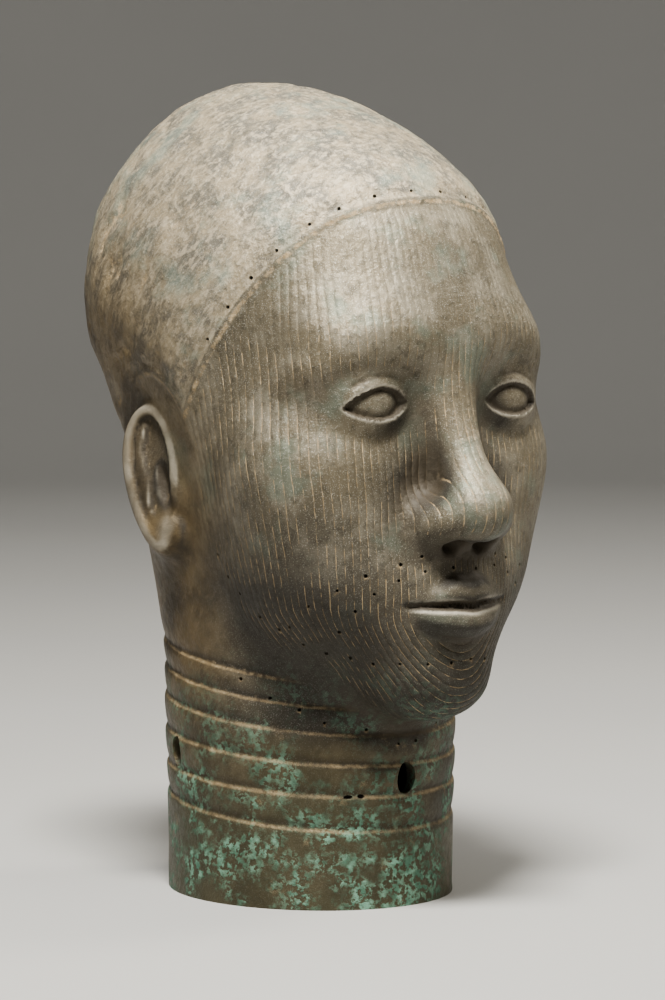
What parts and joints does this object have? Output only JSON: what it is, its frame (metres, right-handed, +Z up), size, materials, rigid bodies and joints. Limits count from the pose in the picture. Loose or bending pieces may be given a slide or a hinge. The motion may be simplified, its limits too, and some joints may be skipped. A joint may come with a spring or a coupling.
{
  "type": "cast bronze head sculpture",
  "caption": "Life-size hollow cast bronze head on a ringed neck, with a close hair cap, fine upright lines on the face and peg holes round the neck; stands on its flat rim.",
  "frame": {"origin": "middle of the bounding box, at the level of the flat rim under the neck", "axes": "+Z up from the rim to the crown, face towards -Y, the head's own left ear at +X"},
  "size_m": [0.1428, 0.216, 0.3068],
  "materials": {
    "patinated_bronze": "old cast bronze, dark brown-grey patina with tan earth in its grooves and patches of green"
  },
  "bodies": {
    "root": {"head": "patinated_bronze"}
  },
  "joints": []
}
